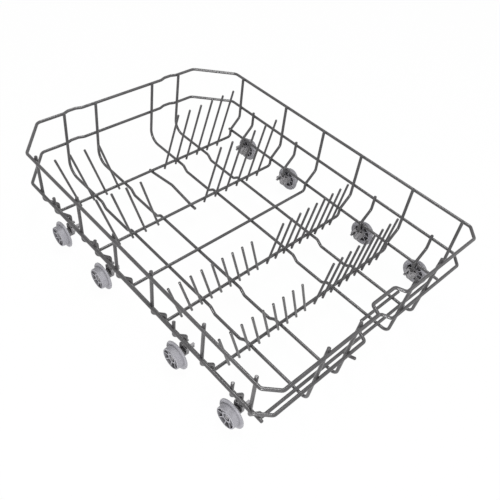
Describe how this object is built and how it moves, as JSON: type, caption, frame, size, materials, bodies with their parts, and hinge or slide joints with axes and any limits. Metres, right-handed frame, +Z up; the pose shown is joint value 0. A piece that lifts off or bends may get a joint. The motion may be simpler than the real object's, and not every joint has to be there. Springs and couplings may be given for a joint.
{
  "type": "dishwasher basket",
  "caption": "Lower dishwasher basket of welded coated wire with leaning plate tines, a front handle recess and flanged wheels under both side rails.",
  "frame": {"origin": "middle of the outline, on the surface that the wheels stand on", "axes": "+X to the right seen from the handle side, +Y to the back, +Z up"},
  "size_m": [0.3814, 0.5384, 0.141],
  "materials": {
    "coated_wire": "satin nylon coating",
    "wheel_plastic": "moulded",
    "bracket_plastic": "moulded"
  },
  "bodies": {
    "basket": {"rim_wire": "coated_wire", "belt_wire": "coated_wire", "rail_left": "coated_wire", "rail_right": "coated_wire", "cross_wire_1": "coated_wire", "cross_wire_2": "coated_wire", "cross_wire_3": "coated_wire", "cross_wire_4": "coated_wire", "cross_wire_5": "coated_wire", "cross_wire_6": "coated_wire", "long_wire_1": "coated_wire", "long_wire_2": "coated_wire", "long_wire_3": "coated_wire", "long_wire_4": "coated_wire", "centre_arch_wire": "coated_wire", "front_short_rod": "coated_wire", "front_stop_pin": "coated_wire", "short_tines_2_left": "coated_wire", "short_tines_2_right": "coated_wire", "short_tines_3_left": "coated_wire", "short_tines_3_right": "coated_wire", "tall_tines_5_left": "coated_wire", "tall_tines_5_right": "coated_wire", "tall_tines_6_left": "coated_wire", "tall_tines_6_right": "coated_wire", "wheel_stays_left": "coated_wire", "wheel_stays_right": "coated_wire", "wheel_brackets_left": "bracket_plastic", "wheel_brackets_right": "bracket_plastic"},
    "wheel_1_left": {"wheel_1_left": "wheel_plastic"},
    "wheel_2_left": {"wheel_2_left": "wheel_plastic"},
    "wheel_3_left": {"wheel_3_left": "wheel_plastic"},
    "wheel_4_left": {"wheel_4_left": "wheel_plastic"},
    "wheel_1_right": {"wheel_1_right": "wheel_plastic"},
    "wheel_2_right": {"wheel_2_right": "wheel_plastic"},
    "wheel_3_right": {"wheel_3_right": "wheel_plastic"},
    "wheel_4_right": {"wheel_4_right": "wheel_plastic"}
  },
  "joints": [
    {"name": "wheel_1_left_spin", "type": "hinge", "parent": "basket", "child": "wheel_1_left", "pos_m": [-0.1836, -0.21123, 0.02], "axis": [1, 0, 0], "continuous": true},
    {"name": "wheel_2_left_spin", "type": "hinge", "parent": "basket", "child": "wheel_2_left", "pos_m": [-0.1836, -0.10953, 0.02], "axis": [1, 0, 0], "continuous": true},
    {"name": "wheel_3_left_spin", "type": "hinge", "parent": "basket", "child": "wheel_3_left", "pos_m": [-0.1836, 0.05367, 0.02], "axis": [1, 0, 0], "continuous": true},
    {"name": "wheel_4_left_spin", "type": "hinge", "parent": "basket", "child": "wheel_4_left", "pos_m": [-0.1836, 0.15477, 0.02], "axis": [1, 0, 0], "continuous": true},
    {"name": "wheel_1_right_spin", "type": "hinge", "parent": "basket", "child": "wheel_1_right", "pos_m": [0.1836, -0.21123, 0.02], "axis": [1, 0, 0], "continuous": true},
    {"name": "wheel_2_right_spin", "type": "hinge", "parent": "basket", "child": "wheel_2_right", "pos_m": [0.1836, -0.10953, 0.02], "axis": [1, 0, 0], "continuous": true},
    {"name": "wheel_3_right_spin", "type": "hinge", "parent": "basket", "child": "wheel_3_right", "pos_m": [0.1836, 0.05367, 0.02], "axis": [1, 0, 0], "continuous": true},
    {"name": "wheel_4_right_spin", "type": "hinge", "parent": "basket", "child": "wheel_4_right", "pos_m": [0.1836, 0.15477, 0.02], "axis": [1, 0, 0], "continuous": true}
  ]
}
